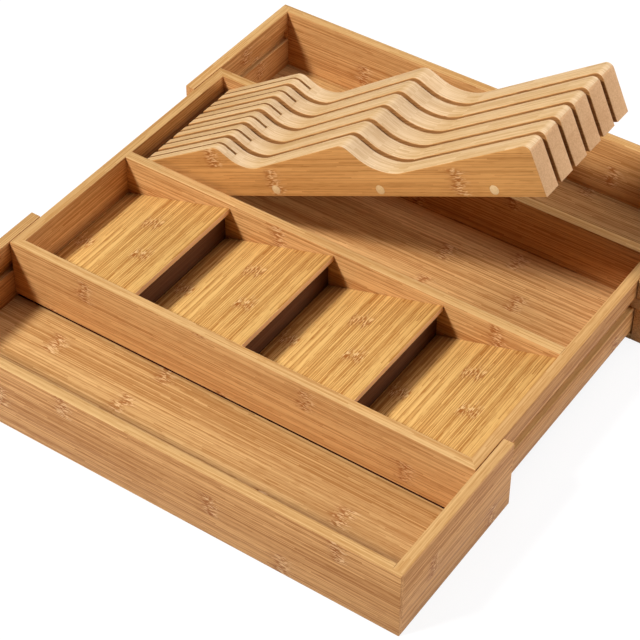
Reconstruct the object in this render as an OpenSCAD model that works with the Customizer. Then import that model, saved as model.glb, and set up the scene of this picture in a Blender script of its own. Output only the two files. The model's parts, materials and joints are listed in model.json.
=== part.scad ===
// Expandable bamboo drawer organizer: a centre tray with a stepped spice rack and a lift-out
// wave-topped knife block, and two extension trays that slide out from under it.
// X runs along the long boards, Y from front to back, Z up from the drawer's floor.
// The origin is at the middle of the footprint, on the floor.

/* [Trays] */
// Outside length of the centre tray
centre_len = 430; // [400:1:500]
// Outside depth of the centre tray, front to back
centre_depth = 280; // [260:1:320]
// Height of the common rim above the drawer's floor
rim_height = 64; // [60:0.5:76]
// Thickness of the upright boards
board_t = 9; // [8:0.5:11]
// Thickness of the floor panels
floor_t = 6; // [4:0.5:7]
// Thickness of an extension board's lip over the end of a side board
lip_t = 3.5; // [2:0.1:6]

/* [Slides] */
// How far each extension tray is drawn out from its closed place
drawn_out = 101.5; // [20:0.5:105]
// Space left between a closed extension board and the centre tray
stop_gap = 0.5; // [0.3:0.1:1]
// Side play between a centre end board and an extension side board
side_play = 0.5; // [0.3:0.1:1]
// Space between the centre tray's underside and the extension floors
under_gap = 3.3; // [1:0.1:5]
// Distance from the rim down to the slide grooves
groove_drop = 19.5; // [16:0.5:24]
// Height of the slide grooves
groove_h = 11; // [8:0.5:13]
// Depth of the slide grooves
groove_depth = 4.5; // [3:0.25:5.5]
// How far a guide strip stops short of the centre tray's corner
guide_setback = 8; // [7:0.5:14]
// Running clearance round a guide strip
guide_clear = 0.3; // [0.2:0.05:0.6]

/* [Spice rack] */
// Thickness of the sloping shelves
shelf_t = 5; // [4:0.5:7]
// How far a shelf's high edge stands past its riser
shelf_overhang = 5.2; // [3:0.2:8]
// Distance from the rim down to a shelf's high edge
shelf_drop = 4.2; // [2:0.1:8]
// Thickness of the risers under the high edges
riser_t = 6; // [4:0.5:9]
// Width of the bearer strip under each low edge
bearer_w = 10; // [6:0.5:14]
// Height of a bearer strip at its low side
bearer_h = 6; // [4:0.5:8]

/* [Knife block] */
// Free length of the knife bay beside the block
block_end_room = 12; // [8:0.5:20]
// Space between the block and the rear board
block_rear_gap = 0.8; // [0.5:0.1:2]
// Space between the block and the divider
block_front_gap = 3.5; // [1:0.1:5]
// Width of a full-length knife slot
slot_w = 3.8; // [3:0.1:5]
// Width of the short saw slot in each slat
saw_w = 2.2; // [1.5:0.1:3]
// Length of the short saw slot, from the low end
saw_len = 103.5; // [85:0.5:110]
// Wood left under a saw slot
saw_floor = 10; // [6:0.5:14]
// Height of the slats at the low end
low_end_h = 32.3; // [28:0.1:36]
// Height of the slats at the high end
high_end_h = 43.3; // [38:0.1:46]
// Distance from the rim of the bay down to the crest lines
crest_drop = 2.9; // [2:0.1:6]
// First crest, from the low end
crest_1_at = 93; // [86:0.5:100]
// Second crest, from the low end
crest_2_at = 226.6; // [215:0.2:240]
// Slope of the falling side of a wave, in degrees
fall_angle = 48; // [42:1:55]
// Height of the first seat's corner line
seat_1_h = 22.9; // [20:0.1:26]
// Height of the second seat's corner line
seat_2_h = 16.8; // [14:0.1:20]
// Radius of the crests
crest_r = 9; // [5:0.5:11]
// Radius of the first seat
seat_1_r = 28; // [18:1:32]
// Radius of the second seat
seat_2_r = 40; // [25:1:44]
// Radius of the high end's upper edge
high_end_r = 5.5; // [2:0.5:8]
// Diameter of the dowels that join the slats
dowel_d = 8; // [6:0.5:9]
// Height of the dowels' centre line in the slats
dowel_h = 6.2; // [5.8:0.1:9]
// Last dowel, from the high end
dowel_inset = 44; // [30:1:60]
// Distance between dowels
dowel_pitch = 107.8; // [95:0.2:115]
// Radial glue clearance between a dowel and its bore
dowel_clear = 0.05; // [0.02:0.01:0.1]
// Outside diameter of the spacer rings on the dowels
spacer_d = 11.6; // [10.4:0.1:11.6]
// Tilt of the block with its high end lifted, in degrees
block_tilt = 25.1; // [5:0.1:35]
// Space under the block when it lies flat in the bay
seat_gap = 0.3; // [0.2:0.05:0.6]
// Space between the flat block's high end and the end board
end_gap = 0.8; // [0.5:0.1:4]
// Height of the tilt line above the flat block's underside
tilt_line_h = 23.6; // [16:0.1:30]
// Distance of the tilt line beyond the flat block's low end
tilt_line_out = 12.9; // [8:0.1:18]

/* [Hidden] */

board_colour = "#c99a5c";
floor_colour = "#dcb379";
shelf_colour = "#e0b87c";
slat_colour = "#e3bf8b";
dowel_colour = "#ecd3a4";
guide_colour = "#b98a4e";

shelf_count = 4;
slat_count = 6;
dowel_count = 3;
arc_steps = 10;
round_fn = 48;
low_end_r = 2;
foot_r = 1;
past = 1;

// Centre tray
half_len = centre_len / 2;
half_depth = centre_depth / 2;
inner_x = half_len - board_t;
inner_y = half_depth - board_t;
centre_base = floor_t + under_gap;
bay_floor = centre_base + floor_t;
divider_y = board_t / 2;

// Extension trays
side_in = half_len + side_play;
side_out = side_in + board_t;
front_y = half_depth + stop_gap + board_t + drawn_out;
side_end_y = drawn_out + stop_gap;
groove_top = rim_height - groove_drop;
groove_low = groove_top - groove_h;
// The centre tray's grooves end just past the drawn-out guide strips and so stop the trays
groove_end_y = half_depth - guide_setback + guide_clear;

// Spice rack: shelves share the inner length, each tucked under the one before it
shelf_run = (2 * inner_x + (shelf_count - 1) * shelf_overhang) / shelf_count;
shelf_pitch = shelf_run - shelf_overhang;
shelf_high = rim_height - shelf_drop;
shelf_slope = atan2(shelf_high - bay_floor - bearer_h - shelf_t, shelf_run);
shelf_depth_z = shelf_t / cos(shelf_slope);
shelf_low = shelf_high - shelf_run * tan(shelf_slope);

// Knife block, in its own frame: u along the slats from the low end, w up from the underside
block_len = 2 * inner_x - block_end_room;
bay_depth_y = inner_y - divider_y;
slat_room = bay_depth_y - block_front_gap - block_rear_gap;
slat_t = (slat_room - (slat_count - 1) * slot_w) / slat_count;
slat_pitch = slat_t + slot_w;
block_y = divider_y + block_front_gap;
crest_h = rim_height - bay_floor - crest_drop;
seat_1_at = crest_1_at + (crest_h - seat_1_h) / tan(fall_angle);
seat_2_at = crest_2_at + (crest_h - seat_2_h) / tan(fall_angle);

// The tilt line lies beyond the low end, so that lifting the block also raises its low edge
tilt_x = inner_x - end_gap - block_len - tilt_line_out;
tilt_z = bay_floor + seat_gap + tilt_line_h;

// Rounded outlines
function unit(v) = v / norm(v);
function turn_between(a, b) = let (d = b - a) d > 180 ? d - 360 : d < -180 ? d + 360 : d;
function corner_arc(a, b, c, r) =
    let (
        u = unit(a - b),
        v = unit(c - b),
        half = acos(u * v) / 2,
        mid = b + unit(u + v) * r / sin(half),
        p = b + u * r / tan(half) - mid,
        q = b + v * r / tan(half) - mid,
        from = atan2(p.y, p.x),
        turn = turn_between(from, atan2(q.y, q.x))
    )
    [for (k = [0:arc_steps]) mid + r * [cos(from + turn * k / arc_steps), sin(from + turn * k / arc_steps)]];
function rounded(points, radii) =
    let (n = len(points))
    [for (i = [0:n - 1]) each corner_arc(points[(i + n - 1) % n], points[i], points[(i + 1) % n], radii[i])];

slat_corners = [
    [0, 0], [0, low_end_h], [crest_1_at, crest_h], [seat_1_at, seat_1_h], [crest_2_at, crest_h],
    [seat_2_at, seat_2_h], [block_len, high_end_h], [block_len, 0]
];
slat_radii = [foot_r, low_end_r, crest_r, seat_1_r, crest_r, seat_2_r, high_end_r, foot_r];

// Shared shapes
module plate(low, high) {
    translate(low) cube(high - low);
}

// A side view in X and Z, made solid from y0 to y1
module side_profile(y0, y1, points) {
    translate([0, y1, 0]) rotate([90, 0, 0]) linear_extrude(y1 - y0) polygon(points);
}

// A plan view in X and Y, made solid from z0 up to the rim
module upright(points, z0) {
    translate([0, 0, z0]) linear_extrude(rim_height - z0) polygon(points);
}

// Centre tray, with mitred corners
module centre_end(side) {
    color(board_colour) mirror([side < 0 ? 1 : 0, 0, 0]) difference() {
        upright([
            [inner_x, -inner_y], [half_len, -half_depth], [half_len, half_depth], [inner_x, inner_y]
        ], centre_base);
        plate([half_len - groove_depth, -groove_end_y, groove_low],
              [half_len + past, groove_end_y, groove_top]);
    }
}

module centre_long_board(side) {
    color(board_colour) mirror([0, side < 0 ? 1 : 0, 0]) upright([
        [-half_len, half_depth], [-inner_x, inner_y], [inner_x, inner_y], [half_len, half_depth]
    ], centre_base);
}

module centre_divider() {
    color(board_colour) plate([-inner_x, -divider_y, bay_floor], [inner_x, divider_y, rim_height]);
}

module centre_floor() {
    color(floor_colour) plate([-inner_x, -inner_y, centre_base], [inner_x, inner_y, bay_floor]);
}

// Spice rack
function shelf_x(i) = -inner_x + (i - 1) * shelf_pitch;
function shelf_under(d) = shelf_low + d * tan(shelf_slope) - shelf_depth_z;

module spice_shelf(i) {
    x = shelf_x(i);
    color(shelf_colour) side_profile(-inner_y, -divider_y, [
        [x, shelf_low - shelf_depth_z], [x + shelf_run, shelf_high - shelf_depth_z],
        [x + shelf_run, shelf_high], [x, shelf_low]
    ]);
}

// A strip that stands on the bay's floor and reaches up to the underside of shelf i
module shelf_support(i, d0, d1) {
    x = shelf_x(i);
    side_profile(-inner_y, -divider_y, [
        [x + d0, bay_floor], [x + d1, bay_floor], [x + d1, shelf_under(d1)], [x + d0, shelf_under(d0)]
    ]);
}

module shelf_riser(i) {
    color(board_colour) shelf_support(i, shelf_run - shelf_overhang - riser_t, shelf_run - shelf_overhang);
}

module shelf_bearer(i) {
    color(guide_colour) shelf_support(i, 0, bearer_w);
}

// Extension trays, with lapped corners: way is -1 for the front tray and 1 for the rear tray
module extension(way) {
    mirror([0, way < 0 ? 1 : 0, 0]) children();
}

module extension_board(way) {
    color(board_colour) extension(way) upright([
        [-side_out, front_y], [-side_out, front_y - lip_t], [-side_in, front_y - lip_t],
        [-side_in, front_y - board_t], [side_in, front_y - board_t],
        [side_in, front_y - lip_t], [side_out, front_y - lip_t], [side_out, front_y]
    ], 0);
}

module extension_side(way, side) {
    color(board_colour) extension(way) mirror([side < 0 ? 1 : 0, 0, 0]) difference() {
        plate([side_in, side_end_y, 0], [side_out, front_y - lip_t, rim_height]);
        plate([side_in - past, side_end_y - past, groove_low],
              [side_in + groove_depth, front_y - board_t, groove_top]);
    }
}

module extension_floor(way) {
    color(floor_colour) extension(way)
        plate([-side_in, side_end_y, 0], [side_in, front_y - board_t, floor_t]);
}

module extension_guide(way, side) {
    color(guide_colour) extension(way) mirror([side < 0 ? 1 : 0, 0, 0])
        plate([half_len - groove_depth + guide_clear, side_end_y, groove_low + guide_clear],
              [side_in + groove_depth, half_depth - guide_setback, groove_top - guide_clear]);
}

// Knife block
module lifted_block() {
    translate([tilt_x, block_y, tilt_z]) rotate([0, -block_tilt, 0]) translate([tilt_line_out, 0, -tilt_line_h])
        children();
}

module along_dowel(i, y0, y1, r) {
    u = block_len - dowel_inset - (dowel_count - i) * dowel_pitch;
    translate([u, y1, dowel_h]) rotate([90, 0, 0]) cylinder(h = y1 - y0, r = r, $fn = round_fn);
}

module knife_slat(i) {
    y0 = (i - 1) * slat_pitch;
    middle = y0 + slat_t / 2;
    color(slat_colour) lifted_block() difference() {
        side_profile(y0, y0 + slat_t, rounded(slat_corners, slat_radii));
        plate([-past, middle - saw_w / 2, saw_floor], [saw_len, middle + saw_w / 2, crest_h + past]);
        for (d = [1:dowel_count])
            along_dowel(d, y0 - past, y0 + slat_t + past, dowel_d / 2 + dowel_clear);
    }
}

module block_dowel(i) {
    color(dowel_colour) lifted_block() along_dowel(i, 0, slat_room, dowel_d / 2);
}

module block_spacers() {
    color(dowel_colour) lifted_block() for (d = [1:dowel_count], s = [1:slat_count - 1]) {
        y0 = s * slat_pitch - slot_w;
        difference() {
            along_dowel(d, y0, y0 + slot_w, spacer_d / 2);
            along_dowel(d, y0 - past, y0 + slot_w + past, dowel_d / 2 + dowel_clear);
        }
    }
}

centre_end(-1);  // centre_left_end
centre_end(1);  // centre_right_end
centre_long_board(-1);  // centre_front_board
centre_long_board(1);  // centre_rear_board
centre_divider();
centre_floor();
for (i = [1:shelf_count]) {
    spice_shelf(i);
    shelf_riser(i);
    shelf_bearer(i);
}
extension_board(-1);  // front_tray_board
extension_side(-1, -1);  // front_tray_left_side
extension_side(-1, 1);  // front_tray_right_side
extension_floor(-1);  // front_tray_floor
extension_guide(-1, -1);  // front_tray_left_guide
extension_guide(-1, 1);  // front_tray_right_guide
extension_board(1);  // rear_tray_board
extension_side(1, -1);  // rear_tray_left_side
extension_side(1, 1);  // rear_tray_right_side
extension_floor(1);  // rear_tray_floor
extension_guide(1, -1);  // rear_tray_left_guide
extension_guide(1, 1);  // rear_tray_right_guide
for (i = [1:slat_count]) {
    knife_slat(i);
}
for (i = [1:dowel_count]) {
    block_dowel(i);
}
block_spacers();
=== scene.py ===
# %% [markdown]
# # A bamboo drawer organizer, board by board
#
# This lesson dresses the measured model of an expandable drawer organizer: a centre tray with a spice
# rack and a knife block, and two trays that slide out of it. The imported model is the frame. Each board
# is cut again here with the edges and the grain that the bare solids lack, at the place the frame gives.

# %% Load the frame
import json
import math

import bmesh
import bpy
from mathutils import Matrix, Vector


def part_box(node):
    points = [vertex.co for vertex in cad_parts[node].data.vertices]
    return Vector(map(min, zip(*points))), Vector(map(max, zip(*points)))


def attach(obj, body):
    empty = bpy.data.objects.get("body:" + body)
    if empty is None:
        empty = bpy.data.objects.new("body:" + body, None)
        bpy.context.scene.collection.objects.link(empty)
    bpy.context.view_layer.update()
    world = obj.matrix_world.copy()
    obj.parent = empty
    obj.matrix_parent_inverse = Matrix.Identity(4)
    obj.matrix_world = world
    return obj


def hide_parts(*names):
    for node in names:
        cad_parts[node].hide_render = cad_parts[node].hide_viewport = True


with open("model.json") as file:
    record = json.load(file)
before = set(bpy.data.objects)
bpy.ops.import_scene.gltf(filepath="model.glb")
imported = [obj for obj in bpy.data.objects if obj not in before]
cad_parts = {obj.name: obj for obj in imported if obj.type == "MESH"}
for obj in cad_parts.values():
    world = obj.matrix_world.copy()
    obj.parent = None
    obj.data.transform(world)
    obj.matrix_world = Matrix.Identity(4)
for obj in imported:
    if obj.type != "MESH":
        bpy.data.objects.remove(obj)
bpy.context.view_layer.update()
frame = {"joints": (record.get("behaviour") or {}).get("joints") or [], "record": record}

MM = 0.001
record = frame["record"]
body_of = {node: body for body, nodes in record["behaviour"]["bodies"].items() for node in nodes}

# %% [markdown]
# ## The figure of laminated bamboo
#
# Bamboo boards are glued up from strips about two centimetres wide. Along each strip run fine dark
# fibres, and every twenty or thirty centimetres a knuckle of the cane crosses it as a row of short dark
# dashes with a pale rim. An image could show this, but a shader group made of noise needs no picture,
# never repeats, and serves every board. It reads an attribute named grain, which each board carries:
# millimetres along the grain, across it and through the board, so the figure follows the board
# wherever it points.

# %% Helpers for wiring shader nodes
def add_node(tree, kind, **settings):
    node = tree.nodes.new(kind)
    for name, value in settings.items():
        setattr(node, name, value)
    return node


def plug(tree, value, socket):
    """Links a socket's value, or writes a plain one."""
    if isinstance(value, bpy.types.NodeSocket):
        tree.links.new(value, socket)
    else:
        socket.default_value = value


def maths(tree, operation, a, b=0.0, c=0.0, clamp=False):
    node = add_node(tree, "ShaderNodeMath", operation=operation, use_clamp=clamp)
    for value, socket in zip((a, b, c), node.inputs):
        plug(tree, value, socket)
    return node.outputs[0]


def ramp(tree, value, none, full):
    """0 at none and before it, 1 at full and past it, and a smooth step between them."""
    node = add_node(tree, "ShaderNodeMapRange", interpolation_type="SMOOTHSTEP")
    for setting, name in ((value, "Value"), (none, "From Min"), (full, "From Max")):
        plug(tree, setting, node.inputs[name])
    return node.outputs["Result"]


def blend(tree, amount, a, b, mode="MIX"):
    node = add_node(tree, "ShaderNodeMix", data_type="RGBA", blend_type=mode)
    for value, index in ((amount, 0), (a, 6), (b, 7)):
        plug(tree, value, node.inputs[index])
    return node.outputs[2]


def join(tree, *values):
    """One vector from up to three values."""
    node = add_node(tree, "ShaderNodeCombineXYZ")
    for value, socket in zip(values, node.inputs):
        plug(tree, value, socket)
    return node.outputs[0]


def scaled(tree, grain, factors):
    node = add_node(tree, "ShaderNodeVectorMath", operation="MULTIPLY")
    plug(tree, grain, node.inputs[0])
    node.inputs[1].default_value = factors
    return node.outputs[0]


print("helpers: nodes, links and sums")

# %% Helpers for marks along the grain
NOISE_ROUGHNESS = 0.55
# rows of dashes are shifted by up to this many lengths, so that their ends don't line up
LANE_SHIFT = 9.0


def streaks(tree, grain, size, detail=1.0):
    """Noise drawn out along the grain; size is millimetres along it and across it."""
    along, across = size
    noise = add_node(tree, "ShaderNodeTexNoise", noise_dimensions="3D")
    plug(tree, scaled(tree, grain, (1 / along, 1 / across, 1 / across)), noise.inputs["Vector"])
    for name, value in (("Scale", 1.0), ("Detail", detail), ("Roughness", NOISE_ROUGHNESS)):
        noise.inputs[name].default_value = value
    return noise.outputs["Fac"]


def reeds(tree, grain, size):
    """Thin dashes along the grain, of that length and width in millimetres, each with its own value."""
    length, width = size
    split = add_node(tree, "ShaderNodeSeparateXYZ")
    plug(tree, scaled(tree, grain, (1 / length, 1 / width, 1 / width)), split.inputs[0])
    row, layer = (maths(tree, "FLOOR", value) for value in split.outputs[1:])
    shift = add_node(tree, "ShaderNodeTexWhiteNoise", noise_dimensions="2D")
    plug(tree, join(tree, row, layer), shift.inputs["Vector"])
    place = maths(tree, "MULTIPLY_ADD", shift.outputs["Value"], LANE_SHIFT, split.outputs[0])
    tone = add_node(tree, "ShaderNodeTexWhiteNoise", noise_dimensions="3D")
    plug(tree, join(tree, maths(tree, "FLOOR", place), row, layer), tone.inputs["Vector"])
    return tone.outputs["Value"]


def bell(tree, distance, width):
    """1 at no distance, falling off softly over the width."""
    ratio = maths(tree, "DIVIDE", distance, width)
    return maths(tree, "EXPONENT", maths(tree, "MULTIPLY", maths(tree, "MULTIPLY", ratio, ratio), -1.0))


def weigh(tree, noise, weight, total):
    """Adds the noise, centred on nought, to the total with a weight."""
    return maths(tree, "MULTIPLY_ADD", maths(tree, "SUBTRACT", noise, 0.5), weight, total)


print("helpers: streaks, reeds and bells")

# %% [markdown]
# ## Building the figure as a node group
#
# A group is a material's recipe that other materials can share: it takes named inputs and gives named
# outputs. This one puts out a colour, a roughness and a height. It first finds out which strip and
# which length of cane a point lies on, and rolls dice for each, so that neighbours differ.

# %% The group's sockets
FIGURE_INPUTS = {
    "Grain": ("NodeSocketVector", None),
    "Strip": ("NodeSocketFloat", 21.0),
    "Knuckle Spacing": ("NodeSocketFloat", 230.0),
    "Light": ("NodeSocketColor", None),
    "Deep": ("NodeSocketColor", None),
    "Streaks": ("NodeSocketFloat", 1.0),
    "Knuckles": ("NodeSocketFloat", 0.8),
}
FIGURE_OUTPUTS = {"Colour": "NodeSocketColor", "Roughness": "NodeSocketFloat", "Height": "NodeSocketFloat"}

figure = bpy.data.node_groups.new("bamboo_figure", "ShaderNodeTree")
for name, (kind, value) in FIGURE_INPUTS.items():
    socket = figure.interface.new_socket(name, in_out="INPUT", socket_type=kind)
    if value is not None:
        socket.default_value = value
for name, kind in FIGURE_OUTPUTS.items():
    figure.interface.new_socket(name, in_out="OUTPUT", socket_type=kind)
given = add_node(figure, "NodeGroupInput").outputs
result = add_node(figure, "NodeGroupOutput").inputs
print("group:", figure.name, "with", len(FIGURE_INPUTS), "inputs and", len(FIGURE_OUTPUTS), "outputs")

# %% Which strip, and which length of cane on it
# from strip to strip, knuckles move by up to so many spacings and fibres by so many millimetres
CANE_SHIFT = 7.3
FIBRE_SHIFT = 613.0

split = add_node(figure, "ShaderNodeSeparateXYZ")
plug(figure, given["Grain"], split.inputs[0])
along, across, through = split.outputs
strip_place = maths(figure, "DIVIDE", across, given["Strip"])
strip_number = maths(figure, "FLOOR", strip_place)
off_middle = maths(figure, "ABSOLUTE", maths(figure, "SUBTRACT", maths(figure, "FRACT", strip_place), 0.5))
strip_dice = add_node(figure, "ShaderNodeTexWhiteNoise", noise_dimensions="1D")
plug(figure, strip_number, strip_dice.inputs["W"])
canes_along = maths(figure, "DIVIDE", along, given["Knuckle Spacing"])
cane_place = maths(figure, "MULTIPLY_ADD", strip_dice.outputs["Value"], CANE_SHIFT, canes_along)
cane_dice = add_node(figure, "ShaderNodeTexWhiteNoise", noise_dimensions="2D")
plug(figure, join(figure, strip_number, maths(figure, "FLOOR", cane_place)), cane_dice.inputs["Vector"])
dice = add_node(figure, "ShaderNodeSeparateColor")
plug(figure, cane_dice.outputs["Color"], dice.inputs[0])
own_along = maths(figure, "MULTIPLY_ADD", strip_number, FIBRE_SHIFT, along)
grain = join(figure, own_along, across, through)
print("strips and canes:", len(figure.nodes), "nodes so far")

# %% [markdown]
# ### Knuckles
#
# On a strip a knuckle is a reddish band a centimetre wide, broken into dashes, with pale flecks beside
# it and darker tails along the fibres. One measure, the distance from the knuckle's line, makes them
# all: bells of different widths are laid over it. Noise makes the line wander, and a throw of the dice
# leaves some knuckles out.

# %% Knuckle marks
# size of the wandering noise, and how far the line strays, in millimetres
WANDER, STRAY = (90, 4), 18.0
FLECK = (4.5, 1.1)
BAND_W, TAIL_W, PALE_W, PALE_OFF = 5.5, 16.0, 6.0, 3.0
# the share of canes whose knuckle doesn't show
BARE_CANES = 0.3

centre = maths(figure, "MULTIPLY_ADD", dice.outputs[0], 0.4, 0.3)
canes_away = maths(figure, "SUBTRACT", maths(figure, "FRACT", cane_place), centre)
away = maths(figure, "MULTIPLY", canes_away, given["Knuckle Spacing"])
away = weigh(figure, streaks(figure, grain, WANDER, 2.0), STRAY, away)
inside = ramp(figure, off_middle, 0.5, 0.4)
there = maths(figure, "MULTIPLY", inside, maths(figure, "GREATER_THAN", dice.outputs[1], BARE_CANES))
there = maths(figure, "MULTIPLY", there, given["Knuckles"])
band = maths(figure, "MULTIPLY", bell(figure, away, BAND_W), there)
tails = maths(figure, "MULTIPLY", bell(figure, away, TAIL_W), there)
beside = maths(figure, "MULTIPLY", bell(figure, maths(figure, "SUBTRACT", away, PALE_OFF), PALE_W), there)
flecks = streaks(figure, grain, FLECK)
dashes = maths(figure, "MULTIPLY", ramp(figure, flecks, 0.48, 0.58), band)
pale = maths(figure, "MULTIPLY", ramp(figure, flecks, 0.48, 0.4), beside)
print("knuckles:", len(figure.nodes), "nodes so far")

# %% [markdown]
# ### Fibres, and what the group puts out
#
# Between the knuckles the tone changes from strip to strip, in broad bands, in long streaks, in fine
# fibres and in short dark pores. Each of these is added with its own weight, and the sum mixes the light
# and the deep colour. The knuckles come on top, with a stain made from the deep colour. Streaks are
# a little rougher and deeper than the wood between them, and that gives roughness and height.

# %% Tone, colour, roughness and height
FIBRE = (130, 0.9)
STREAK = (250, 2.6)
PORE = (14, 0.85)
BROAD_BAND = (500, 13)
MEAN_TONE = 0.46
STRIP_WEIGHT, BROAD_WEIGHT, STREAK_WEIGHT, PORE_WEIGHT = 0.35, 0.5, 0.45, 0.3
# the fibres' weight, and how much a knuckle's tails add to it
FIBRE_WEIGHT, TAIL_WEIGHT = 0.85, 0.2
STAIN_TINT = (0.78, 0.57, 0.46, 1)
FLECK_COLOUR = (0.90, 0.66, 0.38, 1)

streak = streaks(figure, grain, STREAK)
pores = ramp(figure, streaks(figure, grain, PORE), 0.52, 0.66)
pores = maths(figure, "MULTIPLY", pores, given["Streaks"])
fibre_weight = maths(figure, "MULTIPLY_ADD", tails, TAIL_WEIGHT, FIBRE_WEIGHT)
fibre_weight = maths(figure, "MULTIPLY", fibre_weight, given["Streaks"])
tone = weigh(figure, strip_dice.outputs["Value"], STRIP_WEIGHT, MEAN_TONE)
tone = weigh(figure, streaks(figure, grain, BROAD_BAND), BROAD_WEIGHT, tone)
tone = weigh(figure, streak, STREAK_WEIGHT, tone)
tone = weigh(figure, reeds(figure, grain, FIBRE), fibre_weight, tone)
tone = maths(figure, "MULTIPLY_ADD", pores, PORE_WEIGHT, tone, clamp=True)

stain = blend(figure, 1.0, given["Deep"], STAIN_TINT, "MULTIPLY")
fleck = blend(figure, 0.45, given["Light"], FLECK_COLOUR)
stained = maths(figure, "MULTIPLY_ADD", band, 0.2, maths(figure, "MULTIPLY", tails, 0.1))
colour = blend(figure, tone, given["Light"], given["Deep"])
for amount, mark in ((stained, stain), (pale, fleck), (dashes, stain)):
    colour = blend(figure, amount, colour, mark)
plug(figure, colour, result["Colour"])
plug(figure, weigh(figure, streak, 0.3, 0.55), result["Roughness"])
sunk = maths(figure, "MULTIPLY", dashes, -1.0)
plug(figure, maths(figure, "MULTIPLY_ADD", streak, -0.8, sunk), result["Height"])
print("group:", figure.name, len(figure.nodes), "nodes")

# %% [markdown]
# ## Fourteen finishes from one figure
#
# All the pieces are bamboo with a thin coat of oil, but they don't look alike. The faces of the boards
# are a warm tan, some paler than others, and their planed top edges paler still: partly their own tone,
# partly painted light on the lit tops. The panels are golden, and the knife bay's is painted lighter and
# redder as painted light in the shaded bay. The shelves are more strongly streaked, the risers under them
# painted dark as painted shade, the walls of the knife slots painted darker as painted shade, and the
# sawn waves of the knife block nearly cream. Each finish is one material with its own colours for the
# group; the shader itself stays in the material, with a dull satin gloss.

# %% The finishes
FINISHES = {
    # name: (light, deep, streaks, knuckles, strip width in mm)
    "board": ((0.68, 0.365, 0.14), (0.38, 0.153, 0.042), 1.1, 0.85, 23.0),
    "pale_board": ((0.76, 0.425, 0.163), (0.45, 0.188, 0.052), 0.95, 0.85, 23.0),
    # partly painted light: top faces are paler, partly as planed bamboo and partly for the light on the tops
    "rim": ((0.715, 0.45, 0.185), (0.515, 0.263, 0.082), 1.0, 0.0, 30.0),
    "panel": ((0.70, 0.44, 0.177), (0.41, 0.193, 0.055), 1.1, 0.85, 22.0),
    # painted light: the knife bay's floor is lighter and redder than the other panels, for the shaded bay
    "bay_panel": ((0.86, 0.52, 0.215), (0.53, 0.235, 0.07), 1.1, 0.85, 22.0),
    # painted shade: a near-black line on the tray floors for the shadow in the gap under the centre tray
    "rub_line": ((0.04, 0.007, 0.008), (0.025, 0.004, 0.005), 1.0, 0.0, 22.0),
    "shelf": ((0.77, 0.48, 0.158), (0.405, 0.17, 0.034), 1.2, 0.85, 22.0),
    # painted shade: the risers are nearly black-brown for the deep shade under the shelves' high edges
    "riser": ((0.13, 0.055, 0.025), (0.085, 0.03, 0.013), 1.0, 0.0, 22.0),
    "slat": ((0.66, 0.325, 0.10), (0.42, 0.18, 0.045), 0.9, 0.9, 26.0),
    # painted shade: slot walls are darker than the slats' sides for the shade inside the narrow slots
    "slot": ((0.46, 0.215, 0.07), (0.30, 0.125, 0.036), 0.9, 0.0, 26.0),
    "sawn": ((0.78, 0.54, 0.277), (0.585, 0.353, 0.141), 1.0, 0.0, 30.0),
    "slat_end": ((0.78, 0.485, 0.25), (0.64, 0.355, 0.165), 0.8, 0.0, 30.0),
    "dowel": ((0.78, 0.54, 0.28), (0.66, 0.42, 0.185), 0.6, 0.0, 30.0),
    "strip": ((0.62, 0.34, 0.13), (0.46, 0.21, 0.07), 0.9, 0.4, 20.0),
}
# a sawn wave crosses the fibres at a slant: its figure is stretched in height, so that its marks stay long
UNSTRETCHED = (1, 1, 1)
STRETCH = {"sawn": (1.0, 0.1, 1.0)}
# the painted shade line under the edge of the centre tray is dull
SATIN = 0.15
GLOSS = {"rub_line": 0.0}
RELIEF_DEPTH = 0.2 * MM
RELIEF_STRENGTH = 0.3


def make_finish(name, light, deep, streak, knuckle, strip):
    material = bpy.data.materials.new("bamboo_" + name)
    material.use_nodes = True
    tree = material.node_tree
    shader = tree.nodes["Principled BSDF"]
    grain = add_node(tree, "ShaderNodeAttribute", attribute_name="grain")
    group = add_node(tree, "ShaderNodeGroup", node_tree=figure)
    stretch = STRETCH.get(name, UNSTRETCHED)
    plug(tree, scaled(tree, grain.outputs["Vector"], stretch), group.inputs["Grain"])
    values = {"Light": (*light, 1), "Deep": (*deep, 1)}
    values |= {"Streaks": streak, "Knuckles": knuckle, "Strip": strip}
    for socket, value in values.items():
        group.inputs[socket].default_value = value
    plug(tree, group.outputs["Colour"], shader.inputs["Base Color"])
    plug(tree, group.outputs["Roughness"], shader.inputs["Roughness"])
    relief = add_node(tree, "ShaderNodeBump")
    relief.inputs["Strength"].default_value = RELIEF_STRENGTH
    relief.inputs["Distance"].default_value = RELIEF_DEPTH
    plug(tree, group.outputs["Height"], relief.inputs["Height"])
    plug(tree, relief.outputs["Normal"], shader.inputs["Normal"])
    shader.inputs["Specular IOR Level"].default_value = GLOSS.get(name, SATIN)
    return material


bamboo = {name: make_finish(name, *values) for name, values in FINISHES.items()}
print("finishes:", ", ".join(bamboo))

# %% [markdown]
# ### Paler falls on the sawn waves
#
# On the ramps of a wave the saw runs nearly along the fibres. On the steep falls it cuts across them, and
# the fibres' open ends look paler. The fall colours are paler still, as painted light: the falls face away
# from the key lamp, and their colour stands in for light they don't get. A second material could be given
# to those faces, but the change is gradual, so the sawn finish mixes two pairs of colours by an attribute
# named fall, which the slats carry: 0 on a ramp and 1 on a steep fall.

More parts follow.
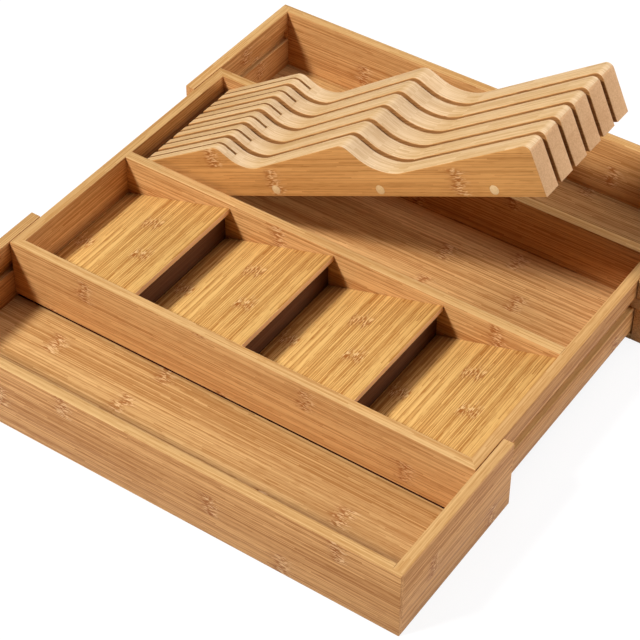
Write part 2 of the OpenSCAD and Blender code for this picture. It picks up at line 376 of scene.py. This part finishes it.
# %% Mix the falls into the sawn finish
# paler than the fibres' open ends alone: partly painted light on falls that face away from the key lamp
FALL_COLOURS = {"Light": (0.85, 0.63, 0.38, 1), "Deep": (0.69, 0.465, 0.243, 1)}
wave_tree = bamboo["sawn"].node_tree
wave_figure = next(node for node in wave_tree.nodes if node.type == "GROUP")
fall = add_node(wave_tree, "ShaderNodeAttribute", attribute_name="fall")
for name, fall_colour in FALL_COLOURS.items():
    ramp_colour = wave_figure.inputs[name].default_value[:]
    mixed = blend(wave_tree, fall.outputs["Fac"], ramp_colour, fall_colour)
    plug(wave_tree, mixed, wave_figure.inputs[name])
print("sawn waves: two tones, mixed by the slope of the cut")

# %% [markdown]
# ## From a cube to a board
#
# A planed board is a cube primitive at the board's size. What makes it look like wood is small: the
# arrises are eased by a fraction of a millimetre, so that they catch the light. An edge that is glued
# to a neighbour stays sharp, or the joint would open into a groove, so the helper takes the planes of
# the glue joints and leaves their edges alone.

# %% Helpers for selecting and cutting
def pick(piece):
    bpy.ops.object.select_all(action="DESELECT")
    piece.select_set(True)
    bpy.context.view_layer.objects.active = piece


def start_block(name, low, high):
    bpy.ops.object.select_all(action="DESELECT")
    low, high = Vector(low), Vector(high)
    bpy.ops.mesh.primitive_cube_add(size=1, location=(low + high) / 2, scale=high - low)
    piece = bpy.context.active_object
    piece.name = piece.data.name = name
    bpy.ops.object.transform_apply(location=True, rotation=True, scale=True)
    return piece


def choose(piece, verts=None, edges=None, faces=None):
    """Opens the piece in edit mode with only those parts selected for which the test is true."""
    pick(piece)
    bpy.ops.object.mode_set(mode="EDIT")
    mesh = bmesh.from_edit_mesh(piece.data)
    mode = "VERT" if verts else "EDGE" if edges else "FACE"
    bpy.ops.mesh.select_mode(type=mode)
    bpy.ops.mesh.select_all(action="DESELECT")
    test = verts or edges or faces
    for part in getattr(mesh, {"VERT": "verts", "EDGE": "edges", "FACE": "faces"}[mode]):
        if test(part):
            part.select_set(True)
    bmesh.update_edit_mesh(piece.data)


def close_edit():
    bpy.ops.object.mode_set(mode="OBJECT")


def saw(piece, point, normal, part_off=True):
    """Saws through the piece; with part_off, what the normal points to falls away."""
    choose(piece, faces=lambda face: True)
    bpy.ops.mesh.bisect(plane_co=point, plane_no=normal, clear_outer=part_off, use_fill=part_off)
    close_edit()


def merge_flat(piece):
    """Makes one face of neighbours that lie in one plane."""
    choose(piece, faces=lambda face: True)
    bpy.ops.mesh.dissolve_limited(angle_limit=math.radians(1))
    close_edit()


def cut_away(piece, cutter):
    """Takes the cutter's volume out of the piece."""
    pick(piece)
    cut = piece.modifiers.new("cut", "BOOLEAN")
    cut.operation = "DIFFERENCE"
    cut.solver = "EXACT"
    cut.object = cutter
    bpy.ops.object.modifier_apply(modifier=cut.name)
    bpy.data.objects.remove(cutter)


print("helpers: pick, choose, saw and cut")

# %% Helpers for edges, grain and fitting
EASE = 0.8 * MM
FINE_EASE = 0.3 * MM
EASE_STEPS = 2
SHARP = 0.5
SMOOTH_BELOW = math.radians(40)
NEAR = 1e-5
# the share of a face's normal along an axis: it looks squarely that way, or at least leans that way
FACING, LEANING = 0.9, 0.5
X, Y, Z = Vector((1, 0, 0)), Vector((0, 1, 0)), Vector((0, 0, 1))


def in_plane(edge, point, normal):
    normal = Vector(normal).normalized()
    return all(abs((vertex.co - Vector(point)).dot(normal)) < NEAR for vertex in edge.verts)


def ease_edges(piece, width=EASE, joints=()):
    """Rounds the sharp edges, apart from those that lie in the plane of a glue joint."""
    def free(edge):
        if len(edge.link_faces) != 2 or edge.calc_face_angle() <= SHARP:
            return False
        return not any(in_plane(edge, point, normal) for point, normal in joints)

    choose(piece, edges=free)
    bpy.ops.mesh.bevel(offset=width, segments=EASE_STEPS, affect="EDGES", clamp_overlap=True)
    close_edit()
    pick(piece)
    bpy.ops.object.shade_smooth_by_angle(angle=SMOOTH_BELOW)


def lay_grain(piece, along, across, start, origin=(0, 0, 0)):
    """Writes the grain attribute: millimetres along, across and through the board, from an origin on it."""
    along, across = Vector(along).normalized(), Vector(across).normalized()
    axes = Matrix((along, across, along.cross(across)))
    field = piece.data.attributes.new("grain", "FLOAT_VECTOR", "POINT")
    for vertex, item in zip(piece.data.vertices, field.data):
        item.vector = axes @ (vertex.co - Vector(origin)) / MM + Vector(start)


def fit(piece, node, slot, finish=None):
    """Puts the finished piece in the place of its node, on the node's body;
    boards get a paler rim on their tops, partly their own tone and partly painted light.
    """
    if not piece.data.materials:
        piece.data.materials.append(bamboo[finish or slot])
    if slot == "board":
        piece.data.materials.append(bamboo["rim"])
        for face in piece.data.polygons:
            face.material_index = 1 if face.normal.z > LEANING else 0
    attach(piece, body_of[node])
    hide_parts(node)


print("edges eased by", EASE / MM, "mm")

# %% [markdown]
# ## The centre tray's long boards, divider and floor
#
# The outer boards of the centre tray meet in mitres, so that no end grain shows and only a fine line
# crosses the corner of the rim. Each board starts square and is sawn through its corner with a bisect
# at 45 degrees. The divider and the floor panel fit square between them. The grain runs along the
# tray. Each board gets its own start in the figure, so that no two of them show the same knuckles.

# %% Mitred long boards
centre_low, centre_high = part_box("centre_left_end")[0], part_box("centre_right_end")[1]
# where each piece starts in the figure: millimetres along the grain, across it and through the board
CENTRE_START = {
    "centre_front_board": (2680, 906, 222),
    "centre_rear_board": (900, 40, 300),
    "centre_divider": (270, 2328, 885),
    "centre_floor": (300, 490, 370),
    "centre_left_end": (-100, 20, -926),
    "centre_right_end": (700, 20, 926),
}


def mitre(way, side):
    """A point and a normal, towards the end board, of the mitre at one corner."""
    x = centre_high.x if side > 0 else centre_low.x
    y = centre_high.y if way > 0 else centre_low.y
    return Vector((x, y, 0)), Vector((side, -way, 0))


for way, node, tone in ((-1, "centre_front_board", "pale_board"), (1, "centre_rear_board", "board")):
    piece = start_block(node + "_cut", *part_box(node))
    corners = [mitre(way, side) for side in (-1, 1)]
    for point, normal in corners:
        saw(piece, point, normal)
    ease_edges(piece, joints=corners)
    lay_grain(piece, X, Z, CENTRE_START[node])
    fit(piece, node, "board", tone)
    print(node, "mitred at both ends")

# %% Divider and floor panel
low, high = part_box("centre_divider")
divider = start_block("centre_divider_cut", low, high)
ease_edges(divider, joints=((low, X), (high, X)))
lay_grain(divider, X, Z, CENTRE_START["centre_divider"])
fit(divider, "centre_divider", "board", "pale_board")

low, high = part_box("centre_floor")
floor_panel = start_block("centre_floor_cut", low, high)
ease_edges(floor_panel, FINE_EASE)
lay_grain(floor_panel, X, Y, CENTRE_START["centre_floor"])
# the bay's floor takes the lighter panel finish, which is painted light for the shaded bay
fit(floor_panel, "centre_floor", "panel", "bay_panel")
print("centre tray: a floor of", [round(v, 3) for v in high - low], "m between mitred boards")

# %% [markdown]
# ## End boards with a ploughed groove
#
# Each end board has a groove along its outer face, in which the extension trays' guide strips run. It
# stops short of the corners, so that a guide strip comes to rest against its end and the tray can't
# be pulled out too far. A box shaped like the groove cuts it, with a Boolean modifier that is applied
# at once. The grain of the end boards runs along Y.

# %% Groove and end boards
GROOVE_TOP = 44.5 * MM
GROOVE_LOW = 33.5 * MM
GROOVE_DEPTH = 4.5 * MM
GROOVE_STOP = 7.7 * MM
# how far a cutter reaches past the face that it cuts
PAST = 10 * MM
SIDE_EASE = 0.6 * MM


def plough(piece, x_open, x_deep, y0, y1):
    low = (min(x_open, x_deep), min(y0, y1), GROOVE_LOW)
    high = (max(x_open, x_deep), max(y0, y1), GROOVE_TOP)
    cut_away(piece, start_block("groove_cutter", low, high))


for side, node, tone in ((-1, "centre_left_end", "pale_board"), (1, "centre_right_end", "board")):
    low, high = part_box(node)
    outer = side * max(abs(low.x), abs(high.x))
    piece = start_block(node + "_cut", low, high)
    corners = [mitre(way, side) for way in (-1, 1)]
    for point, normal in corners:
        saw(piece, point, -normal)
    plough(piece, outer + side * PAST, outer - side * GROOVE_DEPTH, low.y + GROOVE_STOP, high.y - GROOVE_STOP)
    ease_edges(piece, SIDE_EASE, joints=corners)
    lay_grain(piece, Y, Z, CENTRE_START[node])
    fit(piece, node, "board", tone)
    print(node, "grooved", round((GROOVE_TOP - GROOVE_LOW) / MM, 1), "mm wide")

# %% [markdown]
# ## Extension trays with lapped corners
#
# The front and rear trays are the same tray turned about. Their long board has a thin lip at each end
# that laps over the end of the side board. The lip is grown from a shorter block: its end face is cut
# in two along the lap, and the outer part is extruded by the thickness of the side board.

# %% The long board and its lips
LIP = 3.5 * MM
BOARD_T = 9 * MM
BOARD_START = {"front_tray": (980, 2992, 148), "rear_tray": (1500, 30, 2074)}


def outer_face(way, tray):
    """Where the tray's long board ends in Y."""
    low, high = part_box(tray + "_board")
    return way * max(abs(low.y), abs(high.y))


def make_long_board(way, tray, tone):
    low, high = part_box(tray + "_board")
    outer_y = outer_face(way, tray)
    lap = ((0, outer_y - way * LIP, 0), Y)
    piece = start_block(tray + "_board_cut", low + BOARD_T * X, high - BOARD_T * X)
    saw(piece, *lap, part_off=False)
    for side in (-1, 1):
        def lip_end(face):
            outward = way * face.calc_center_median().y > abs(outer_y) - LIP
            return outward and face.normal.x * side > FACING

        choose(piece, faces=lip_end)
        bpy.ops.mesh.extrude_region_move(TRANSFORM_OT_translate={"value": (side * BOARD_T, 0, 0)})
        close_edit()
    merge_flat(piece)
    ease_edges(piece, joints=(lap, (low + BOARD_T * X, X), (high - BOARD_T * X, X)))
    lay_grain(piece, X, Z, BOARD_START[tray])
    fit(piece, tray + "_board", "board", tone)
    print(tray, "board", round((high.x - low.x) / MM, 1), "mm long with two lips")


print("lips", LIP / MM, "mm thick on boards of", BOARD_T / MM, "mm")

# %% [markdown]
# ### Side boards, guide strips and floors
#
# The side boards' inner faces are ploughed like the centre's end boards, and a guide strip sits in the
# groove near the open end. A dark line of painted shade crosses each floor under the edge of the centre
# tray and stands for the shadow in the gap beneath it. A thin strip could be laid there, but the centre
# tray passes close above it, so two bisects across the panel make faces for the line instead, and those
# take a near-black finish that paints the shade.

# %% The other pieces of a tray
# where the strip of painted shade lies under the centre tray's edge, and how wide it is
SHADE_LINE_IN = 1.5 * MM
SHADE_LINE_W = 4 * MM
STRIP_EASE = 0.4 * MM
FLOOR_START = {"front_tray": (2500, 220, 0), "rear_tray": (1700, 12, 5000)}
SIDE_START = {
    "front_tray_left_side": (700, 7, 2500),
    "front_tray_right_side": (2630, 897, 111),
    "rear_tray_left_side": (1700, 7, 3500),
    "rear_tray_right_side": (1700, 23, 4500),
}


def make_side_board(way, tray, side, node, tone):
    low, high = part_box(node)
    inner = side * min(abs(low.x), abs(high.x))
    outer_y = outer_face(way, tray)
    free_end = way * (min(abs(low.y), abs(high.y)) - PAST)
    piece = start_block(node + "_cut", low, high)
    plough(piece, inner - side * PAST, inner + side * GROOVE_DEPTH, free_end, outer_y - way * BOARD_T)
    ease_edges(piece, SIDE_EASE, joints=[((0, outer_y - way * LIP, 0), Y)])
    lay_grain(piece, Y, Z, SIDE_START[node])
    fit(piece, node, "board", tone)


def make_guide_strip(way, side, node):
    piece = start_block(node + "_cut", *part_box(node))
    ease_edges(piece, STRIP_EASE)
    lay_grain(piece, Y, Z, (100 * way, 5, 4000 * side))
    fit(piece, node, "strip")


def make_tray_floor(way, tray):
    piece = start_block(tray + "_floor_cut", *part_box(tray + "_floor"))
    ease_edges(piece, FINE_EASE)
    shade_line_edge = centre_high.y - SHADE_LINE_IN
    # two cuts bound the strip of painted shade for the gap under the centre tray
    for depth in (0, SHADE_LINE_W):
        saw(piece, (0, way * (shade_line_edge - depth), 0), Y, part_off=False)
    for finish in ("panel", "rub_line"):
        piece.data.materials.append(bamboo[finish])
    for face in piece.data.polygons:
        under = shade_line_edge - way * face.center.y
        face.material_index = 1 if face.normal.z > FACING and 0 < under < SHADE_LINE_W else 0
    lay_grain(piece, X, Y, FLOOR_START[tray])
    fit(piece, tray + "_floor", "panel")


for way, tray, tone in ((-1, "front_tray", "board"), (1, "rear_tray", "pale_board")):
    make_long_board(way, tray, tone)
    for side, hand in ((-1, "left"), (1, "right")):
        make_side_board(way, tray, side, f"{tray}_{hand}_side", tone)
        make_guide_strip(way, side, f"{tray}_{hand}_guide")
    make_tray_floor(way, tray)
    print(tray, "has two side boards, two guide strips and a floor")

# %% [markdown]
# ## The stepped spice rack
#
# Four sloping shelves overlap like roof tiles. Each one is a thin board whose far end is lifted: the
# end face is selected by its place and moved straight up, which slopes the board and keeps both ends
# upright, as a bevel cut would. Risers carry the high edges and bearer strips the low ones; their tops
# are sawn to the shelf's slope. In the photograph the same knuckles come back on all four shelves, so
# these share one start in the figure, measured from each shelf's own corner.

# %% Shelves, risers and bearers
SHELF_EDGE = 5.24 * MM
SHELF_EASE = 0.7 * MM
SHELVES = 4
SHELF_START = (1289, 3034, 7183)
# the risers take the dark riser finish, which is painted shade
SUPPORTS = (("shelf_riser", "board", "riser"), ("shelf_bearer", "strip", "strip"))
for number in range(1, SHELVES + 1):
    node = f"spice_shelf_{number}"
    low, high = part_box(node)
    rise = high.z - low.z - SHELF_EDGE
    shelf = start_block(node + "_cut", low, (high.x, high.y, low.z + SHELF_EDGE))
    choose(shelf, verts=lambda v: v.co.x > high.x - MM)
    bpy.ops.transform.translate(value=(0, 0, rise))
    close_edit()
    ease_edges(shelf, SHELF_EASE)
    slope = Vector((high.x - low.x, 0, rise))
    lay_grain(shelf, Y, slope, SHELF_START, low + SHELF_EDGE * Z)
    for finish in ("shelf", "slat_end"):
        shelf.data.materials.append(bamboo[finish])
    for face in shelf.data.polygons:
        face.material_index = 1 if face.normal.x > LEANING else 0
    fit(shelf, node, "shelf")

    upright = Vector((-slope.z, 0, slope.x))
    for kind, slot, finish in SUPPORTS:
        support_node = f"{kind}_{number}"
        support = start_block(support_node + "_cut", *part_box(support_node))
        saw(support, low, upright)
        ease_edges(support, FINE_EASE)
        lay_grain(support, Y, Z, (350 * number, 0, 7000))
        fit(support, support_node, slot, finish)
print("spice rack:", SHELVES, "shelves rising", round(rise / MM, 1), "mm each")

# %% [markdown]
# ## One slat of the knife block
#
# The knife block is six equal slats with a wavy top: two crests to lie under the handles and two hollow
# seats. The outline is straight ramps and falls with rounded corners, so it is built the way a joiner
# would mark it out: a plain blank, cut lines across it at each corner, the top brought to height there,
# and each corner rounded to its own radius with an edge bevel. The bevel's offset is the length of the
# tangent, the radius times the tangent of half the turn. One slat is modelled and copied.

# %% The slat's outline
SLAT_LEN = 400 * MM
SLAT_T = 17.2 * MM
CREST_H = 45.8 * MM
# corner: (distance from the low end, height, radius)
WAVE = {
    "low end": (0, 32.3 * MM, 2 * MM),
    "first crest": (93 * MM, CREST_H, 9 * MM),
    "first seat": (113.62 * MM, 22.9 * MM, 28 * MM),
    "second crest": (226.6 * MM, CREST_H, 9 * MM),
    "second seat": (252.71 * MM, 16.8 * MM, 40 * MM),
    "high end": (SLAT_LEN, 43.15 * MM, 5.5 * MM),
}
corners = list(WAVE.values())
slat = start_block("slat_pattern", (0, 0, 0), (SLAT_LEN, SLAT_T, CREST_H))
for u, height, radius in corners[1:-1]:
    saw(slat, (u, 0, 0), X, part_off=False)
for u, height, radius in corners:
    choose(slat, verts=lambda v: abs(v.co.x - u) < NEAR and v.co.z > MM)
    bpy.ops.transform.translate(value=(0, 0, height - CREST_H))
    close_edit()
merge_flat(slat)
print("blank cut to", len(corners), "corners,", len(slat.data.polygons), "faces")

# %% Round the corners and ease the edges
CORNER_STEPS = 14
SLAT_EASE_STEPS = 3
tops = [Vector((u, height)) for u, height, radius in corners]
outline = [Vector((0, 0)), *tops, Vector((SLAT_LEN, 0))]
for index, (u, height, radius) in enumerate(corners, start=1):
    before = (outline[index] - outline[index - 1]).normalized()
    after = (outline[index + 1] - outline[index]).normalized()
    turn = before.angle(after)
    choose(slat, edges=lambda e: all(abs(v.co.x - u) < NEAR and abs(v.co.z - height) < NEAR for v in e.verts))
    bpy.ops.mesh.bevel(offset=radius * math.tan(turn / 2), segments=CORNER_STEPS, affect="EDGES")
    close_edit()
choose(slat, edges=lambda e: sum(abs(f.normal.y) > FACING for f in e.link_faces) == 1)
bpy.ops.mesh.bevel(offset=EASE, segments=SLAT_EASE_STEPS, affect="EDGES")
close_edit()
print("slat outline:", len(slat.data.polygons), "faces")

# %% [markdown]
# ## Saw slots and bores
#
# Each slat has a short saw slot from its low end for small knives, and three bores for the dowels that
# string the slats together. A dark texture could stand for the slots, but from above they show as real
# gaps, so slots and bores are Boolean cuts in the pattern slat, and all copies have them.

# %% Cut the pattern slat
SAW_LEN = 103.5 * MM
SAW_W = 2.2 * MM
SAW_FLOOR = 10 * MM
DOWEL_R = 4 * MM
DOWEL_FIT = 0.05 * MM
DOWEL_H = 6.2 * MM
DOWEL_IN = 44 * MM
DOWEL_PITCH = 107.8 * MM
DOWELS = [SLAT_LEN - DOWEL_IN - DOWEL_PITCH * count for count in (2, 1, 0)]
ROD_SIDES = 48
kerf_low = (-PAST, (SLAT_T - SAW_W) / 2, SAW_FLOOR)
kerf_high = (SAW_LEN, (SLAT_T + SAW_W) / 2, CREST_H + PAST)
cut_away(slat, start_block("kerf_cutter", kerf_low, kerf_high))


def start_rod(name, u, y0, y1, radius):
    """A cylinder primitive along Y in the block's own frame."""
    bpy.ops.object.select_all(action="DESELECT")
    bpy.ops.mesh.primitive_cylinder_add(vertices=ROD_SIDES, radius=radius, depth=y1 - y0,
                                        location=(u, (y0 + y1) / 2, DOWEL_H), rotation=(math.pi / 2, 0, 0))
    rod = bpy.context.active_object
    rod.name = rod.data.name = name
    bpy.ops.object.transform_apply(location=True, rotation=True, scale=True)
    return rod


for u in DOWELS:
    cut_away(slat, start_rod("bore_cutter", u, -PAST, SLAT_T + PAST, DOWEL_R + DOWEL_FIT))
pick(slat)
bpy.ops.object.shade_smooth_by_angle(angle=math.radians(30))
print("pattern slat:", len(slat.data.polygons), "faces with one saw slot and", len(DOWELS), "bores")

# %% [markdown]
# ## Tilting the block in its bay
#
# The photograph shows the block with its high end lifted. Lifting is a turn about the hinge line in the
# frame, so the whole block is modelled lying flat in its own frame and then placed with one matrix:
# move the hinge line to the origin, turn, and move it to where the frame says it is.

# %% The block's place
TILT_LINE_OUT = 12.9 * MM
TILT_LINE_H = 23.6 * MM
hinge = next(joint for joint in frame["joints"] if joint["name"] == "knife_block_tilt")
tilt = math.radians(-hinge["range_deg"][0])
block_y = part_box("knife_slat_1")[0].y
hinge_line = Vector((hinge["pos_m"][0], block_y, hinge["pos_m"][2]))
block_place = (Matrix.Translation(hinge_line) @ Matrix.Rotation(-tilt, 4, "Y")
               @ Matrix.Translation((TILT_LINE_OUT, 0, -TILT_LINE_H)))


def place_in_bay(piece, offset_y=0.0):
    pick(piece)
    piece.matrix_world = block_place @ Matrix.Translation((0, offset_y, 0))
    bpy.ops.object.transform_apply(location=True, rotation=True, scale=True)


print("block tilted by", round(math.degrees(tilt), 1), "degrees")

# %% [markdown]
# ## Six slats from one pattern
#
# The slats are copies of the pattern, each with its own mesh, so that each can have its own grain and
# finishes. The side of a slat shows only on the two outermost; between the slats it is the wall of a
# knife slot, whose finish is painted darker as painted shade for the inside of the slot. Faces take
# their finish by where they point. The grain and the falls are written while the slat still lies flat,
# and then it goes to its place.

# %% Slats
SLATS = 6
SLAT_PITCH = 21 * MM
SLAT_FINISHES = ("slat", "sawn", "slat_end", "slot")
SLAT_START = Vector((2010, 2796, 8259))
SLAT_STEP = Vector((170, 90, 500))
STEEP = 0.5
SIDEWAYS = 0.85


def slat_finish(face, number):
    """A side is bare on the outermost slats and a slot's wall elsewhere, painted darker as painted shade;
    the rest is edge, end or wave.
    """
    outer = number == 1 and face.center.y < EASE or number == SLATS and face.center.y > SLAT_T - EASE
    if abs(face.normal.y) > SIDEWAYS:
        # a slot's wall takes the darker slot finish, which is painted shade
        return "slat" if outer else "slot"
    if abs(face.normal.y) > LEANING:
        return "slat"
    return "slat_end" if abs(face.normal.x) > FACING else "sawn"


def mark_falls(piece):
    """Writes the fall attribute: 0 where the cut runs level or up, 1 where it falls away steeply."""
    field = piece.data.attributes.new("fall", "FLOAT", "POINT")
    for vertex, item in zip(piece.data.vertices, field.data):
        item.value = min(1, max(0, vertex.normal.x / STEEP))


for number in range(1, SLATS + 1):
    node = f"knife_slat_{number}"
    copy = slat.copy()
    copy.data = slat.data.copy()
    copy.name = copy.data.name = node + "_cut"
    bpy.context.scene.collection.objects.link(copy)
    for finish in SLAT_FINISHES:
        copy.data.materials.append(bamboo[finish])
    for face in copy.data.polygons:
        face.material_index = SLAT_FINISHES.index(slat_finish(face, number))
    lay_grain(copy, X, Z, SLAT_START + number * SLAT_STEP)
    mark_falls(copy)
    place_in_bay(copy, (number - 1) * SLAT_PITCH)
    fit(copy, node, "slat")
bpy.data.objects.remove(slat)
print("slats:", SLATS)

# %% [markdown]
# ## Dowels and spacer rings
#
# Three dowels string the slats together, and their ends show on the outer faces as pale round plugs.
# Rings on the dowels keep the slats apart and leave the long slots for the blades. A ring starts as
# a cylinder: both round faces are inset to the dowel's size and the two inner faces bridged into a bore.

# %% Dowels
block_depth = (SLATS - 1) * SLAT_PITCH + SLAT_T
for number, u in enumerate(DOWELS, start=1):
    node = f"block_dowel_{number}"
    dowel = start_rod(node + "_cut", u, 0, block_depth, DOWEL_R)
    ease_edges(dowel, FINE_EASE)
    lay_grain(dowel, Y, Z, (0, 40 * number, 9000 + 300 * number))
    place_in_bay(dowel)
    fit(dowel, node, "dowel")
print("dowels:", len(DOWELS), "of", round(block_depth / MM, 1), "mm")

# %% Spacer rings
RING_R = 5.8 * MM
rings = []
for u in DOWELS:
    for gap in range(1, SLATS):
        y0 = gap * SLAT_PITCH - (SLAT_PITCH - SLAT_T)
        ring = start_rod("ring", u, y0, gap * SLAT_PITCH, RING_R)
        choose(ring, faces=lambda f: abs(f.normal.y) > FACING)
        bpy.ops.mesh.inset(thickness=RING_R - DOWEL_R - DOWEL_FIT, use_individual=True)
        bpy.ops.mesh.bridge_edge_loops()
        close_edit()
        rings.append(ring)
bpy.ops.object.select_all(action="DESELECT")
for ring in rings:
    ring.select_set(True)
bpy.context.view_layer.objects.active = rings[0]
bpy.ops.object.join()
spacers = bpy.context.active_object
spacers.name = spacers.data.name = "block_spacers_cut"
lay_grain(spacers, Y, Z, (0, 0, 9900))
place_in_bay(spacers)
fit(spacers, "block_spacers", "dowel")
print("rings:", len(rings))

# %% [markdown]
# ## The white floor
#
# The photograph is a studio picture on pure white. The floor is a large plane of pale paper, which throws
# soft light back onto the outer faces. To the camera it is white: a Light Path node gives what the camera
# and mirrors see a glow just under white, with a weak matte share that keeps the shadow of the trays.

# %% Floor
FLOOR_SIZE = 10
FLOOR_GAP = 0.3 * MM
PAPER = 0.66
SHADOW_SHARE = 0.14
GLOW = 0.89
bpy.ops.object.select_all(action="DESELECT")
bpy.ops.mesh.primitive_plane_add(size=FLOOR_SIZE, location=(0, 0, -FLOOR_GAP))
studio_floor = bpy.context.active_object
studio_floor.name = "studio_floor"
paper = bpy.data.materials.new("studio_paper")
paper.use_nodes = True
tree = paper.node_tree
tree.nodes.clear()
out = add_node(tree, "ShaderNodeOutputMaterial")
matte = add_node(tree, "ShaderNodeBsdfDiffuse")
matte.inputs["Color"].default_value = (PAPER, PAPER, PAPER, 1)
faint = add_node(tree, "ShaderNodeBsdfDiffuse")
faint.inputs["Color"].default_value = (SHADOW_SHARE, SHADOW_SHARE, SHADOW_SHARE, 1)
glow = add_node(tree, "ShaderNodeEmission")
glow.inputs["Strength"].default_value = GLOW
white = add_node(tree, "ShaderNodeAddShader")
tree.links.new(faint.outputs[0], white.inputs[0])
tree.links.new(glow.outputs[0], white.inputs[1])
rays = add_node(tree, "ShaderNodeLightPath")
mirrored = maths(tree, "MAXIMUM", rays.outputs["Is Glossy Ray"], rays.outputs["Is Transmission Ray"])
seen = maths(tree, "MAXIMUM", rays.outputs["Is Camera Ray"], mirrored)
which = add_node(tree, "ShaderNodeMixShader")
tree.links.new(seen, which.inputs[0])
tree.links.new(matte.outputs[0], which.inputs[1])
tree.links.new(white.outputs[0], which.inputs[2])
tree.links.new(which.outputs[0], out.inputs["Surface"])
studio_floor.data.materials.append(paper)
print("floor: white paper,", studio_floor.dimensions.x, "m wide")

# %% [markdown]
# ## Studio light
#
# The shadows beside the risers and under the block come from one key lamp, above the front left corner
# and far off, so that its light hardly fades from one side to the other. It is an area lamp: its size
# sets how soft the shadows' edges are. Three nearer, weaker lamps from the top, the right and the back,
# and a faint warm sky, fill the shade.

# %% Light
SKY_COLOUR = (1, 0.84, 0.68, 1)
SKY_STRENGTH = 0.03
NEUTRAL = (1, 1, 1)
ROSY = (1, 0.92, 1)
WARM = (1, 0.96, 0.94)
world = bpy.data.worlds.new("studio")
bpy.context.scene.world = world
world.use_nodes = True
sky = world.node_tree.nodes["Background"]
sky.inputs["Color"].default_value = SKY_COLOUR
sky.inputs["Strength"].default_value = SKY_STRENGTH


def soft_lamp(name, direction, distance, size, power, colour=NEUTRAL):
    """An area lamp that looks at the origin; its size is its level width and its height, in metres."""
    place = Vector(direction).normalized() * distance
    bpy.ops.object.light_add(type="AREA", location=place)
    lamp = bpy.context.active_object
    lamp.name = name
    lamp.data.shape = "RECTANGLE"
    lamp.data.size, lamp.data.size_y = size
    lamp.data.energy = power
    lamp.data.color = colour
    lamp.rotation_euler = (-place).to_track_quat("-Z", "Y").to_euler()
    lamp.visible_camera = False


soft_lamp("key_lamp", (-0.53, -0.81, 1), distance=6.0, size=(0.9, 0.7), power=368)
soft_lamp("top_lamp", (0, 0.15, 1), distance=2.6, size=(1.5, 1.5), power=20, colour=ROSY)
soft_lamp("right_lamp", (1, 0.3, 0.35), distance=2.4, size=(1.0, 0.5), power=23, colour=WARM)
soft_lamp("back_lamp", (0.3, 1, 0.3), distance=2.2, size=(1.2, 0.6), power=8)
bpy.context.scene.view_settings.view_transform = "Standard"
print("light: a key lamp, three fill lamps and a weak sky")

# %% [markdown]
# ## The camera
#
# The photograph looks down on the front right corner from a distance, through a long lens, so parallel
# boards hardly draw together. The place, the angles and the lens come from a pinhole camera that was
# fitted to the edges of the trays.

# %% Camera
AZIMUTH, ELEVATION = math.radians(34.493), math.radians(43.375)
CAMERA_PLACE = (0.6726, -0.9990, 1.1231)
SENSOR_MM = 36
LENS_MM = 114.5
bpy.ops.object.camera_add(location=CAMERA_PLACE)
camera = bpy.context.active_object
level = math.cos(ELEVATION)
seen_from = Vector((math.sin(AZIMUTH) * level, -math.cos(AZIMUTH) * level, math.sin(ELEVATION)))
camera.rotation_euler = (-seen_from).to_track_quat("-Z", "Y").to_euler()
camera.data.sensor_width = SENSOR_MM
camera.data.lens = LENS_MM
bpy.context.scene.camera = camera
print("camera:", round(camera.data.lens, 1), "mm lens")
